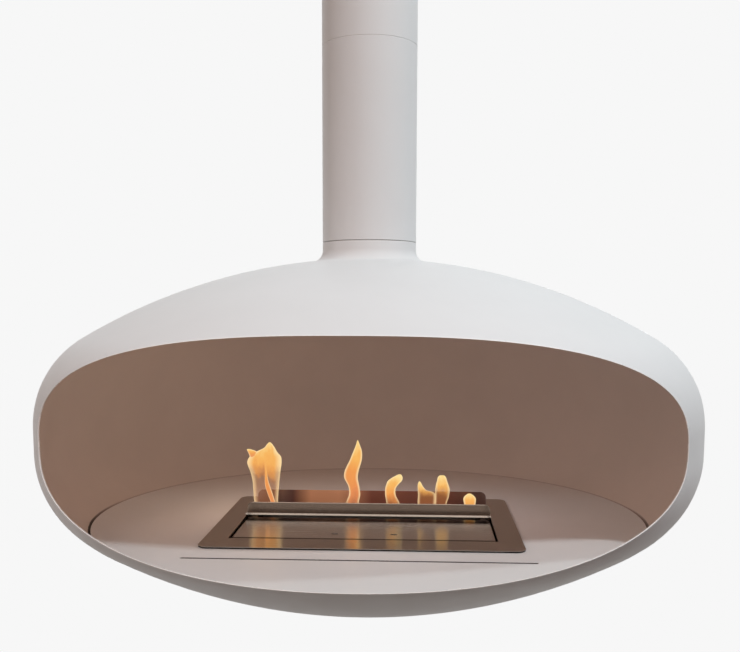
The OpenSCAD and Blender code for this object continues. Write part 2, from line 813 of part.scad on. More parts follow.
ceiling_plate();
spigot_screws();
ceiling_rose();
rose_screws();
upper_tube();
pole_coupling();
coupling_screws();
lower_tube();
end_plate();
spindle();
spindle_bolts();
lower_race();
spindle_washer();
castle_nut();
split_pin();
ball_cage();
bearing_balls();
upper_race();
bearing_housing();
spindle_bush();
housing_bolts();
neck_ring();
friction_ring();
upper_shell();
lower_shell();
hearth_lugs();
hearth_plate();
glass_channel();
burner_frame();
fuel_tank();
burner_deck();
front_baffle();
rear_baffle();
absorbent_pad();
pad_mesh();
sliding_lid();
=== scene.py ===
"""Looks of the hanging fireplace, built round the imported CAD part.

Metres, +Z up. The origin is the centre of the ceiling plate's upper face, and the opening faces -Y.
The shell and the flames are described by heights over the shell's widest line, which lies at WAIST.
"""

from math import atan2, cos, pi, radians, sin, sqrt

import bpy
import numpy as np
from mathutils import Matrix, Vector, noise


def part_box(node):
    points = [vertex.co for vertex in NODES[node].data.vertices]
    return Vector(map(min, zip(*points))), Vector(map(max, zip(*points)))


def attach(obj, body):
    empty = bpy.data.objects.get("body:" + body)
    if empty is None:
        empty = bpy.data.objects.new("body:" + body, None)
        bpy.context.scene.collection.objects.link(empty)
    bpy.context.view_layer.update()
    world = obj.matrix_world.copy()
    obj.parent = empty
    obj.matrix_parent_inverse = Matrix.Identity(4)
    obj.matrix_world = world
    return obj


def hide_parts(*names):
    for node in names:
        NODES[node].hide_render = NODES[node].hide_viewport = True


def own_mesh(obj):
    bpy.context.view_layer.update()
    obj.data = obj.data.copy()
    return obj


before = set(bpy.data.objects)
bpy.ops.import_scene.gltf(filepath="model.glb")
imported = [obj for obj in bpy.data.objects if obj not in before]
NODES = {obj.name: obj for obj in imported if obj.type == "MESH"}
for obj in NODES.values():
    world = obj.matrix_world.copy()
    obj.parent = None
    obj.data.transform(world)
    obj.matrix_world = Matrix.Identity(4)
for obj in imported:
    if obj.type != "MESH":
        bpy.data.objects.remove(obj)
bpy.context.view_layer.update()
SCENE = bpy.context.scene

# ------------------------------------------------------------------ sizes shared with the CAD
WAIST = -0.873
SHELL_R, WALL = 0.5, 0.003
UPPER_H, LOWER_H = 0.262, 0.266  # height of each half
SHOULDER_R = 0.145  # the outline's small arcs, over and under the widest line
BAND = 0.0185  # half the height of the upright band between those arcs
NECK_R, FLARE_R, NECK_TOP = 0.072, 0.017, 0.286

# ------------------------------------------------------------------ the opening and the soft edges
OPEN_HALF_W, OPEN_HALF_H, OPEN_POWER = 0.425, 0.1454, 2.5  # a superellipse
OPEN_MIDDLE = 0.0103  # height of its centre
OPEN_TURN = radians(-0.5)  # about the shell's axis
LIP_ROUND, NECK_ROUND = 0.0014, 0.0006
LIP_SHARE = 0.4  # most of the cut face that one rounded corner may take
ARC_MIDDLE = 0.3  # how deep the middle of a quarter round lies, as a share of its radius


# ------------------------------------------------------------------ objects
def new_object(name, data):
    made = bpy.data.objects.new(name, data)
    SCENE.collection.objects.link(made)
    return made


def new_mesh(name, verts, faces, materials):
    """A smooth-shaded mesh."""
    mesh = bpy.data.meshes.new(name)
    mesh.from_pydata(verts, [], faces)
    mesh.polygons.foreach_set("use_smooth", [True] * len(faces))
    for material in materials:
        mesh.materials.append(material)
    return mesh


# ------------------------------------------------------------------ camera
IMAGE_W, IMAGE_H = 740, 652  # pixels of the photograph
SENSOR_MM = 36


def make_camera():
    """The camera that fits the photograph. Focal length and centre height are in pixels."""
    focal, centre_y = 952.06, 414.8
    turn, pitch, yaw, roll = radians(3.0), 0.11353, 0.00097, 0.002
    distance, height = 1.49119, 0.18941
    forward = Vector((sin(yaw) * cos(pitch), cos(yaw) * cos(pitch), -sin(pitch)))
    up = Vector((sin(yaw) * sin(pitch), cos(yaw) * sin(pitch), cos(pitch)))
    right = Vector((cos(yaw), -sin(yaw), 0))
    right, up = cos(roll) * right + sin(roll) * up, cos(roll) * up - sin(roll) * right
    spin = Matrix.Rotation(turn, 3, "Z")
    place = spin @ Vector((0, -distance, 0)) + Vector((0, 0, WAIST + height))
    axes = Matrix([spin @ right, spin @ up, spin @ -forward]).transposed().to_4x4()
    data = bpy.data.cameras.new("camera")
    data.sensor_fit = "HORIZONTAL"
    data.sensor_width = SENSOR_MM
    data.lens = focal * SENSOR_MM / IMAGE_W
    data.shift_y = (centre_y - IMAGE_H / 2) / IMAGE_W
    data.clip_start, data.clip_end = 0.05, 50
    camera = new_object("camera", data)
    camera.matrix_world = Matrix.Translation(place) @ axes
    SCENE.camera = camera


make_camera()

# ------------------------------------------------------------------ materials
NOISE_LOW, NOISE_HIGH = 0.3, 0.7  # most values of a noise texture lie between these


def srgb(r, g, b):
    """A colour given as sRGB 0..255, as the linear colour that nodes take."""
    def channel(v):
        v /= 255
        return v / 12.92 if v <= 0.04045 else ((v + 0.055) / 1.055) ** 2.4
    return (channel(r), channel(g), channel(b), 1)


def mixed(colour, factor):
    """The colour, lighter or darker by a factor."""
    return tuple(min(1, c * factor) for c in colour[:3]) + (1,)


class Nodes:
    """Short calls for building the node tree of a new material, or of a world that is given."""

    def __init__(self, name, world=None):
        self.owner = world or bpy.data.materials.new(name)
        self.owner.use_nodes = True
        self.tree = self.owner.node_tree
        self.tree.nodes.clear()
        self.out = self.add("OutputWorld" if world else "OutputMaterial")
        self.coord = None

    def add(self, kind, **props):
        node = self.tree.nodes.new("ShaderNode" + kind)
        for key, value in props.items():
            setattr(node, key, value)
        return node

    def link(self, a, b):
        self.tree.links.new(a, b)

    def feed(self, socket, value):
        """Sets a socket to a plain value, or links an output to it."""
        if isinstance(value, (int, float, tuple)):
            socket.default_value = value
        else:
            self.link(value, socket)

    def place(self, scale=(1, 1, 1)):
        """Object coordinates in metres, scaled."""
        if self.coord is None:
            self.coord = self.add("TexCoord")
        mapping = self.add("Mapping")
        mapping.inputs["Scale"].default_value = scale
        self.link(self.coord.outputs["Object"], mapping.inputs["Vector"])
        return mapping.outputs["Vector"]

    def noise(self, vector, scale, detail=3.0, rough=0.5, distortion=0.0):
        node = self.add("TexNoise")
        node.inputs["Scale"].default_value = scale
        node.inputs["Detail"].default_value = detail
        node.inputs["Roughness"].default_value = rough
        node.inputs["Distortion"].default_value = distortion
        self.link(vector, node.inputs["Vector"])
        return node.outputs["Fac"]

    def ramp(self, value, stops):
        node = self.add("ValToRGB")
        ramp = node.color_ramp
        while len(ramp.elements) < len(stops):
            ramp.elements.new(0.5)
        for element, (place, colour) in zip(ramp.elements, stops):
            element.position = place
            element.color = colour
        self.link(value, node.inputs["Fac"])
        return node.outputs["Color"]

    def span(self, value, low, high, a=0.0, b=1.0):
        """Runs from low to high while the value runs from a to b."""
        node = self.add("MapRange")
        for key, v in zip(("From Min", "From Max", "To Min", "To Max"), (a, b, low, high)):
            node.inputs[key].default_value = v
        self.link(value, node.inputs["Value"])
        return node.outputs["Result"]

    def mottle(self, value, dark, light):
        """A colour that wanders from dark to light along a noise."""
        return self.ramp(value, [(NOISE_LOW, dark), (NOISE_HIGH, light)])

    def wander(self, value, low, high):
        """A number that wanders from low to high along a noise."""
        return self.span(value, low, high, NOISE_LOW, NOISE_HIGH)

    def math(self, kind, *values):
        node = self.add("Math", operation=kind)
        for socket, value in zip(node.inputs, values):
            self.feed(socket, value)
        return node.outputs["Value"]

    def mix(self, factor, a, b):
        """Two colours mixed. The node's colour sockets share their names, so they go by number."""
        node = self.add("Mix", data_type="RGBA")
        colour_a, colour_b, colour_out = node.inputs[6], node.inputs[7], node.outputs[2]
        for socket, value in ((node.inputs["Factor"], factor), (colour_a, a), (colour_b, b)):
            self.feed(socket, value)
        return colour_out

    def shade(self, base, zones):
        """Blends colours in along the object's axes. Each zone is a colour and one or more limits,
        (axis, where it starts, where it is full), that all have to hold."""
        split = self.add("SeparateXYZ")
        self.link(self.place(), split.inputs["Vector"])
        for colour, *limits in zones:
            amount = 1.0
            for axis, start, full in limits:
                inside = self.span(split.outputs[axis], 0, 1, start, full)
                amount = self.math("MULTIPLY", inside, amount)
            base = self.mix(amount, base, colour)
        return base

    def bump(self, height, strength, distance, under=None):
        """A normal pushed about by a height, on top of the normal under it."""
        node = self.add("Bump")
        node.inputs["Strength"].default_value = strength
        node.inputs["Distance"].default_value = distance
        self.link(height, node.inputs["Height"])
        if under is not None:
            self.link(under, node.inputs["Normal"])
        return node.outputs["Normal"]

    def shader(self, colour, rough, normal=None, **plain):
        node = self.add("BsdfPrincipled")
        self.feed(node.inputs["Base Color"], colour)
        self.feed(node.inputs["Roughness"], rough)
        if normal is not None:
            self.link(normal, node.inputs["Normal"])
        for name, value in plain.items():
            node.inputs[name.replace("_", " ")].default_value = value
        self.link(node.outputs["BSDF"], self.out.inputs["Surface"])
        return node


def paint(name, colour, rough, mottle=0.015, grain=0.12, specular=0.35, zones=()):
    """Sprayed satin paint: faint cloudiness, a fine orange-peel and slightly uneven gloss."""
    n = Nodes(name)
    cloud = n.noise(n.place(), scale=7, detail=4, rough=0.55)
    tone = n.mottle(cloud, mixed(colour, 1 - mottle), mixed(colour, 1 + mottle))
    gloss = n.wander(n.noise(n.place(), scale=38), rough - 0.035, rough + 0.035)
    peel = n.noise(n.place(), scale=420, detail=2, rough=0.6)
    if zones:
        tone = n.shade(tone, zones)
    skin = n.bump(peel, strength=grain, distance=0.0004)
    n.shader(tone, gloss, skin, Specular_IOR_Level=specular)
    return n.owner


def brushed(name, colour, rough, tint=None, grain=900, stretch=0.85, metal=1.0, zones=()):
    """Sheet steel brushed from side to side: fine lines along X, a stretched highlight across them,
    a slight warp, stains of heat where a tint is given, and edges broken by a hair."""
    n = Nodes(name)
    lines = n.noise(n.place((8, grain, grain)), scale=1, rough=0.6)
    cloud = n.noise(n.place(), scale=11)
    base = n.mottle(lines, mixed(colour, 0.95), mixed(colour, 1.04))
    if tint:
        stain = n.span(cloud, 0, 0.55, a=0.42, b=0.72)
        base = n.mix(stain, base, tint)
    if zones:
        base = n.shade(base, zones)
    gloss = n.math("ADD", n.wander(lines, rough - 0.03, rough + 0.03), n.wander(cloud, -0.02, 0.03))
    broken_edge = n.add("Bevel", samples=4)
    broken_edge.inputs["Radius"].default_value = 0.0005
    swell = n.noise(n.place((7, 12, 12)), scale=1, detail=1)
    warp = n.bump(swell, strength=0.25, distance=0.0012, under=broken_edge.outputs["Normal"])
    scratch = n.bump(lines, strength=0.08, distance=0.00008, under=warp)
    shader = n.shader(base, gloss, scratch, Metallic=metal, Anisotropic=stretch)
    across = n.add("CombineXYZ")
    across.inputs["Y"].default_value = across.inputs["Z"].default_value = 1.0
    turned = n.add("VectorTransform", vector_type="VECTOR", convert_from="OBJECT",
                   convert_to="WORLD")
    n.link(across.outputs["Vector"], turned.inputs["Vector"])
    n.link(turned.outputs["Vector"], shader.inputs["Tangent"])
    return n.owner


def plated(name, colour, rough=0.28, speck=0.06, scale=180):
    """Turned or zinc-plated metal: a light crystalline mottle."""
    n = Nodes(name)
    spot = n.noise(n.place(), scale, detail=4, rough=0.65)
    cloud = n.noise(n.place(), scale=30, detail=2)
    base = n.mottle(spot, mixed(colour, 1 - speck), mixed(colour, 1 + speck))
    gloss = n.wander(cloud, rough - 0.05, rough + 0.08)
    n.shader(base, gloss, n.bump(spot, strength=0.15, distance=0.0002), Metallic=1.0)
    return n.owner


def moulded(name, colour, rough=0.5):
    """Moulded plastic with a fine spark texture."""
    n = Nodes(name)
    fine = n.noise(n.place(), scale=900, detail=2, rough=0.7)
    base = n.mottle(fine, mixed(colour, 0.85), mixed(colour, 1.15))
    gloss = n.wander(fine, rough - 0.06, rough + 0.06)
    n.shader(base, gloss, n.bump(fine, strength=0.3, distance=0.0002))
    return n.owner


def fibre(name):
    """Ceramic wool: matted short fibres, a little scorched in patches."""
    n = Nodes(name)
    strands = n.noise(n.place((1, 1, 2)), scale=210, detail=6, rough=0.75, distortion=1.4)
    patch = n.noise(n.place(), scale=22, rough=0.6)
    pale = n.mottle(strands, srgb(176, 168, 154), srgb(232, 227, 216))
    scorch = n.span(patch, 0, 0.55, a=0.52, b=0.72)
    base = n.mix(scorch, pale, srgb(120, 96, 72))
    matt = n.bump(strands, strength=0.7, distance=0.0015)
    n.shader(base, n.span(strands, 0.86, 0.98), matt, Specular_IOR_Level=0.1)
    return n.owner


WHITE = (0.80, 0.80, 0.80, 1)
# A lighter white for the lip, as a painted highlight.
LIP_HIGHLIGHT_WHITE = (0.97, 0.96, 0.95, 1)
# A warm white for the hearth plate's rear: painted shade.
PLATE_REAR_SHADE = (0.74, 0.66, 0.61, 1)
# Taupes for the chamber's inner face and for the wall's foot: painted shade.
CHAMBER_SHADE, WALL_FOOT_SHADE = (0.66, 0.575, 0.52, 1), (0.46, 0.38, 0.34, 1)
BURNER_STEEL = (0.57, 0.53, 0.49, 1)
LID_STEEL = (0.732, 0.6954, 0.6588, 1)
BAFFLE_STEEL = (0.25, 0.185, 0.145, 1)
HOT_STEEL = (0.26, 0.19, 0.18, 1)
# Plum is a heat tint; the bright copper is partly heat tint and partly painted light from the
# flames.
PLUM, COPPER_TINT_AND_FLAME_LIGHT = (0.20, 0.10, 0.09, 1), (1.0, 0.57, 0.35, 1)
MAROON, DARK_MAROON = (0.34, 0.14, 0.10, 1), (0.20, 0.12, 0.10, 1)
SHADOW_GAP = srgb(50, 40, 36)
# Near black for painted shade along cut edges, in slots and under parts.
SHADE_BLACK = (0.012, 0.008, 0.007, 1)
# A light tone for painted highlights on the front baffle.
PAINTED_HIGHLIGHT = (0.84, 0.72, 0.62, 1)

PLATE_TOP, RIM_TOP, LID_TOP = (
    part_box(node)[1].z for node in ("hearth_plate", "burner_frame", "sliding_lid")
)

# Limits for zones of colour: (axis, where the colour starts, where it is full).
PLATE_REAR, PLATE_FRONT_HALF = ("Y", 0.12, 0.36), ("Y", 0.08, -0.10)
WALL_FOOT = ("Z", PLATE_TOP + 0.0009, PLATE_TOP + 0.0004)
WALL_FOOT_WIDER = ("Z", PLATE_TOP + 0.0016, PLATE_TOP + 0.0010)
LID_UNDER_BAFFLE, LID_FRONT_EDGE = ("Y", -0.056, -0.046), ("Y", -0.157, -0.159)
BAFFLE_HEM, BAFFLE_FOOT = ("Y", -0.0350, -0.0370), ("Z", -1.0072, -1.0078)
BAFFLE_UPPER_EDGE = ("Z", -0.9915, -0.9910)


def cut_edge(top, full=0.0006):
    """The limit that takes in a sheet's cut edges, just under its upper face."""
    return ("Z", top - 0.0003, top - full)


shell_paint = paint("shell_satin_white", WHITE, 0.48, specular=0.2)
pole_paint = paint("pole_satin_white", WHITE, 0.48, specular=0.25)
# The hearth plate's rear carries painted shade, and its cut edges a painted shadow gap.
hearth_paint = paint("hearth_white_with_painted_shade", WHITE, 0.4, zones=[
    (PLATE_REAR_SHADE, PLATE_REAR),
    (SHADOW_GAP, cut_edge(PLATE_TOP, 0.0007)),
])
# The lip is glossier than the shell, and its lighter white is a painted highlight along the
# opening's edge.
lip_highlight_paint = paint("lip_white_painted_highlight", LIP_HIGHLIGHT_WHITE, 0.26, grain=0.05, specular=0.6)
# The chamber's inner face is a darker, warmer copy of the shell's white: painted shade for the
# inside of the chamber. Where the wall meets the hearth plate it carries painted shade, darkest
# beside the plate's front half.
chamber_shade_paint = paint("chamber_painted_shade", CHAMBER_SHADE, 0.6, mottle=0.03, specular=0.2, zones=[
    (WALL_FOOT_SHADE, WALL_FOOT),
    (SHADOW_GAP, WALL_FOOT_WIDER, PLATE_FRONT_HALF),
])
# The burner frame's cut edges under its top carry painted shade.
burner_steel = brushed("burner_brushed_steel", BURNER_STEEL, 0.18, zones=[
    (SHADE_BLACK, cut_edge(RIM_TOP)),
])
# The lid carries painted shade under the front baffle, along its front edge and in its slots.
lid_steel = brushed("lid_brushed_steel", LID_STEEL, 0.24, zones=[
    (SHADE_BLACK, LID_UNDER_BAFFLE),
    (SHADE_BLACK, LID_FRONT_EDGE),
    (SHADE_BLACK, cut_edge(LID_TOP)),
])
# The front baffle carries a painted highlight along its hem and its upper edge, and painted shade
# at its foot.
baffle_steel = brushed("front_baffle_dark_steel", BAFFLE_STEEL, 0.24, zones=[
    (PAINTED_HIGHLIGHT, BAFFLE_HEM),
    (SHADE_BLACK, BAFFLE_FOOT),
    (PAINTED_HIGHLIGHT, BAFFLE_UPPER_EDGE),
])
# The rear baffle's face shows heat tints from left to right; its bright copper patch is partly heat
# tint and partly painted light from the flames.
tint_and_flame_light_steel = brushed("rear_baffle_heat_tint_and_flame_light", HOT_STEEL, 0.2, metal=0.2, zones=[
    (PLUM, ("X", -0.150, -0.125)),
    (COPPER_TINT_AND_FLAME_LIGHT, ("X", -0.132, -0.102)),
    (MAROON, ("X", -0.055, 0.0)),
    (DARK_MAROON, ("X", 0.120, 0.170)),
])
deck_steel = brushed("deck_sooted_steel", (0.10, 0.09, 0.085, 1), 0.4, srgb(70, 56, 46), 500)
tank_steel = brushed("tank_steel", (0.32, 0.30, 0.28, 1), 0.38, srgb(96, 78, 64), 500)
mesh_steel = brushed("pad_mesh_steel", (0.35, 0.32, 0.29, 1), 0.36, srgb(112, 84, 62))
inner_steel = brushed("structure_steel", (0.42, 0.42, 0.43, 1), 0.42, grain=300, stretch=0.3)
zinc = plated("zinc_plate", (0.62, 0.64, 0.66, 1))
bearing_steel = plated("bearing_steel", (0.58, 0.58, 0.59, 1), 0.16, 0.03, 90)
bronze = plated("bronze", (0.62, 0.42, 0.22, 1), 0.3)
black_plastic = moulded("black_plastic", (0.018, 0.018, 0.02, 1))
grey_plastic = moulded("grey_plastic", (0.36, 0.34, 0.33, 1))
wool = fibre("ceramic_wool")

FINISHES = {
    "ceiling_plate": zinc, "spigot_screws": zinc, "ceiling_rose": pole_paint, "rose_screws": zinc,
    "upper_tube": pole_paint, "pole_coupling": inner_steel, "coupling_screws": zinc,
    "lower_tube": pole_paint, "end_plate": inner_steel, "spindle": bearing_steel,
    "spindle_bolts": zinc, "lower_race": bearing_steel, "spindle_washer": zinc,
    "castle_nut": zinc, "split_pin": zinc, "ball_cage": bronze, "bearing_balls": bearing_steel,
    "upper_race": bearing_steel, "bearing_housing": inner_steel, "spindle_bush": bronze,
    "housing_bolts": zinc, "neck_ring": inner_steel, "friction_ring": grey_plastic,
    "upper_shell": shell_paint, "lower_shell": shell_paint, "hearth_lugs": hearth_paint,
    "hearth_plate": hearth_paint, "glass_channel": black_plastic, "burner_frame": burner_steel,
    "fuel_tank": tank_steel, "burner_deck": deck_steel, "front_baffle": baffle_steel,
    "rear_baffle": tint_and_flame_light_steel, "absorbent_pad": wool, "pad_mesh": mesh_steel,
    "sliding_lid": lid_steel,
}
for node_name, finish in FINISHES.items():
    for material_slot in NODES[node_name].material_slots:
        material_slot.material = finish


# ------------------------------------------------------------------ the shell, as one smooth skin
COLUMNS, REACH = 240, 52  # of the grid: all round, and on each side of the opening's middle
PATCH_LOW, PATCH_HIGH = -0.205, 0.215  # heights between which rings replace the grid there
RINGS, RING_CROWDING = 9, 1.25  # between lip and grid, crowded towards the lip
OUTLINE_POINTS = 2000
OUTER, INNER, LIP = 0, 1, 2  # material indices of the skin


def crown_radius(h):
    """Radius of the large arc that meets the shoulder's arc smoothly, in a half of height h."""
    reach = SHELL_R - SHOULDER_R
    return (reach**2 + (h - BAND) ** 2 - SHOULDER_R**2) / (2 * (h - BAND - SHOULDER_R))


def shell_sections():
    """The outer face's half-section as arcs and lines from the bottom's centre to the neck's edge:
    (steps, function of 0..1 that gives r, z and the outward normal)."""
    reach = SHELL_R - SHOULDER_R
    low_r, top_r = crown_radius(LOWER_H), crown_radius(UPPER_H)
    low_c, top_c = low_r - LOWER_H, UPPER_H - top_r
    low_a = atan2(-BAND - low_c, reach)
    top_a = atan2(BAND - top_c, reach)
    flare_x = NECK_R + FLARE_R
    flare_z = top_c + sqrt((top_r + FLARE_R) ** 2 - flare_x**2)
    flare_a = atan2(flare_z - top_c, flare_x)

    def arc(cx, cz, radius, a0, a1, side=1):
        def point(t):
            a = a0 + (a1 - a0) * t
            return (cx + radius * cos(a), cz + radius * sin(a), side * cos(a), side * sin(a))
        return point

    def line(z0, z1, radius):
        return lambda t: (radius, z0 + (z1 - z0) * t, 1.0, 0.0)

    return [
        (26, arc(0, low_c, low_r, -pi / 2, low_a)),
        (14, arc(reach, -BAND, SHOULDER_R, low_a, 0)),
        (4, line(-BAND, BAND, SHELL_R)),
        (14, arc(reach, BAND, SHOULDER_R, 0, top_a)),
        (26, arc(0, top_c, top_r, top_a, flare_a)),
        (12, arc(flare_x, flare_z, FLARE_R, flare_a + pi, pi, -1)),
        (3, line(flare_z, NECK_TOP - NECK_ROUND, NECK_R)),
    ]


class Profile:
    """Looks up the half-section by its running length. rows are the lengths of the grid's rows."""

    def __init__(self, fine_steps=200):
        start, fine, rows = 0.0, [], []
        for steps, point in shell_sections():
            part = np.array([point(i / fine_steps) for i in range(fine_steps + 1)])
            length = np.hypot(*np.diff(part[:, :2], axis=0).T).sum()
            s = start + np.linspace(0, length, fine_steps + 1)
            fine.append(np.column_stack([s, part]))
            rows.append(np.linspace(start, start + length, steps, endpoint=False))
            start += length
        self.table = np.vstack(fine)
        self.rows = np.concatenate(rows + [[start]])

    def at(self, s, sink=0.0):
        """Radius, height and normal at running length s, sunk into the wall by sink."""
        t = self.table
        r, z, nr, nz = (np.interp(s, t[:, 0], t[:, i]) for i in (1, 2, 3, 4))
        size = np.hypot(nr, nz)
        nr, nz = nr / size, nz / size
        return r - sink * nr, z - sink * nz, nr, nz

    def length_at(self, z, sink=0.0):
        """Running length at which the face has height z."""
        t = self.table
        heights = np.maximum.accumulate(t[:, 2] - sink * t[:, 4])
        return np.interp(z, heights, t[:, 0])


def opening_outline(count):
    """Points and outward normals of the opening's outline, a superellipse, about its own centre."""
    angle = np.linspace(-pi, pi, count, endpoint=False)
    u, v = np.cos(angle), np.sin(angle)
    reach = (np.abs(u) ** OPEN_POWER + np.abs(v) ** OPEN_POWER) ** (-1 / OPEN_POWER)
    nx = np.sign(u) * np.abs(u) ** (OPEN_POWER - 1) / OPEN_HALF_W
    nz = np.sign(v) * np.abs(v) ** (OPEN_POWER - 1) / OPEN_HALF_H
    size = np.hypot(nx, nz)
    return np.column_stack(
        [OPEN_HALF_W * u * reach, OPEN_HALF_H * v * reach, nx / size, nz / size])


def opening_at(border, prof):
    """One point of the opening's outline, with its normal, for each point (column, row) of the
    patch's border: the one that lies at the same angle about the opening's middle."""
    outline = opening_outline(OUTLINE_POINTS)
    out_s = prof.length_at(outline[:, 1] + OPEN_MIDDLE)
    out_t = np.arcsin(outline[:, 0] / prof.at(out_s)[0])
    mid_s, half_s = (out_s.max() + out_s.min()) / 2, (out_s.max() - out_s.min()) / 2
    half_t = out_t.max()
    angle = np.arctan2((out_s - mid_s) / half_s, out_t / half_t)
    order = np.argsort(angle)
    step = 2 * pi / COLUMNS
    want = [
        atan2((prof.rows[row] - mid_s) / half_s, column * step / half_t) for column, row in border
    ]
    x, z, nx, nz = (
        np.interp(want, angle[order], outline[order, i], period=2 * pi) for i in range(4)
    )
    size = np.hypot(nx, nz)
    return x, z, nx / size, nz / size


def on_face(prof, x, z, sink):
    """Angle and running length of a point of the opening's outline, on the outer or inner face."""
    s = prof.length_at(z + OPEN_MIDDLE, sink)
    return np.arcsin(x / prof.at(s, sink)[0]) + OPEN_TURN, s


class Skin:
    """Collects the shell's vertices, their normals where they are known, and its faces."""

    def __init__(self, prof):
        self.prof = prof
        self.verts, self.normals, self.faces, self.kinds = [], [], [], []

    def vert(self, place, normal=None):
        self.verts.append(tuple(map(float, place)))
        self.normals.append(normal)
        return len(self.verts) - 1

    def spot(self, theta, s, sink, side):
        """A vertex on the face, at an angle about the axis, 0 at the front, and a running length.
        side is 1 on the outer face and -1 on the inner one."""
        r, z, nr, nz = self.prof.at(s, sink)
        normal = (side * nr * sin(theta), -side * nr * cos(theta), side * nz)
        return self.vert((r * sin(theta), -r * cos(theta), WAIST + z), tuple(map(float, normal)))

    def face(self, corners, kind, side=1):
        self.faces.append(corners if side > 0 else corners[::-1])
        self.kinds.append(kind)

    def band(self, near, far, kind, side=1):
        """Faces between two closed rings."""
        for j in range(len(near)):
            m = (j + 1) % len(near)
            self.face((near[j], near[m], far[m], far[j]), kind, side)

    def mesh(self):
        """The finished mesh. Where a vertex has no normal of its own, it keeps Blender's."""
        made = new_mesh("shell_skin", self.verts, self.faces, (shell_paint, chamber_shade_paint, lip_highlight_paint))
        made.polygons.foreach_set("material_index", self.kinds)
        made.update()
        computed = [tuple(v.normal) for v in made.vertices]
        made.normals_split_custom_set_from_vertices(
            [known or found for known, found in zip(self.normals, computed)])
        return made


def patch_border(low, high):
    """The border of the patch round the opening: (column, row), counter-clockwise from outside."""
    cols = range(-REACH, REACH + 1)
    border = [(c, low) for c in cols[:-1]] + [(REACH, r) for r in range(low, high)]
    return border + [(c, high) for c in cols[:0:-1]] + [(-REACH, r) for r in range(high, low, -1)]


def make_face(skin, border, low, high, opening, side):
    """The outer or the inner face. Returns its ring at the opening and its ring at the neck."""
    prof, rows, step = skin.prof, skin.prof.rows, 2 * pi / COLUMNS
    sink, kind = (0.0, OUTER) if side > 0 else (WALL, INNER)
    columns = [c if c <= COLUMNS // 2 else c - COLUMNS for c in range(COLUMNS)]
    bottom = skin.spot(0, rows[0], sink, side)
    grid = {}
    for i in range(1, len(rows)):
        for c in columns:
            if not (low < i < high and abs(c) < REACH):
                grid[(c, i)] = skin.spot(c * step, rows[i], sink, side)
    for a, b in zip(columns, columns[1:] + columns[:1]):
        skin.face((bottom, grid[(b, 1)], grid[(a, 1)]), kind, side)
        for i in range(1, len(rows) - 1):
            if not (low <= i < high and -REACH <= a < REACH):
                corners = (grid[(a, i)], grid[(b, i)], grid[(b, i + 1)], grid[(a, i + 1)])
                skin.face(corners, kind, side)
    x, z, nx, nz = opening
    lip_t, lip_s = on_face(prof, x + LIP_ROUND * nx, z + LIP_ROUND * nz, sink)
    rings = []
    for k in range(RINGS):
        f = (k / RINGS) ** RING_CROWDING
        rings.append([
            skin.spot(t + (c * step - t) * f, s + (rows[r] - s) * f, sink, side)
            for t, s, (c, r) in zip(lip_t, lip_s, border)
        ])
        if k:
            skin.band(rings[k], rings[k - 1], kind, side)
    skin.band([grid[spot] for spot in border], rings[-1], kind, side)
    return rings[0], [grid[(c, len(rows) - 1)] for c in columns]


def make_lip(skin, opening, outer_ring, inner_ring):
    """A rounded corner at each face, and the cut face between them."""
    def corner(sink):
        theta, s = on_face(skin.prof, opening[0], opening[1], sink)
        r, h, _, _ = skin.prof.at(s, sink)
        return np.column_stack([r * np.sin(theta), -r * np.cos(theta), WAIST + h])

    def curve(a, b, c, t):
        return (1 - t) ** 2 * a + 2 * t * (1 - t) * b + t * t * c

    outer, inner = corner(0.0), corner(WALL)
    outer_far = np.array([skin.verts[i] for i in outer_ring])
    inner_far = np.array([skin.verts[i] for i in inner_ring])
    across = inner - outer
    width = np.linalg.norm(across, axis=1, keepdims=True)
    inset = across / width * np.minimum(LIP_ROUND, width * LIP_SHARE)
    strips = [curve(outer_far, outer, outer + inset, t) for t in (0.25, 0.5, 0.75, 1)]
    strips += [curve(inner - inset, inner, inner_far, t) for t in (0, 0.25, 0.5, 0.75)]
    rims = [outer_ring] + [[skin.vert(place) for place in strip] for strip in strips] + [inner_ring]
    for a, b in zip(rims, rims[1:]):
        skin.band(a, b, LIP)


def make_neck_edge(skin, outer_ring, inner_ring):
    """The neck's upper edge, softened."""
    soft = NECK_ROUND * ARC_MIDDLE
    angles = [2 * pi * c / COLUMNS for c in range(COLUMNS)]
    rims = [outer_ring]
    for r, drop in ((NECK_R - soft, soft), (NECK_R - NECK_ROUND, 0),
                    (NECK_R - WALL + NECK_ROUND, 0)):
        height = WAIST + NECK_TOP - drop
        rims.append([skin.vert((r * sin(a), -r * cos(a), height)) for a in angles])
    rims.append(inner_ring)
    for a, b in zip(rims, rims[1:]):
        skin.band(a, b, OUTER)


def make_shell():
    """Both halves as one skin: outer face, inner face, the opening's lip and the neck's edge."""
    prof = Profile()
    low, high = (
        int(np.searchsorted(prof.rows, prof.length_at(z))) for z in (PATCH_LOW, PATCH_HIGH)
    )
    border = patch_border(low, high)
    opening = opening_at(border, prof)
    skin = Skin(prof)
    outer_lip, outer_neck = make_face(skin, border, low, high, opening, 1)
    inner_lip, inner_neck = make_face(skin, border, low, high, opening, -1)
    make_lip(skin, opening, outer_lip, inner_lip)
    make_neck_edge(skin, outer_neck, inner_neck)
    shell = new_object("shell_skin", skin.mesh())
    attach(shell, "shell")
    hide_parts("upper_shell", "lower_shell")


make_shell()

# ------------------------------------------------------------------ flames
FLAME_ROOT = -0.1665  # height at which the flames start, in the tank
FLAME_Y = 0.0254
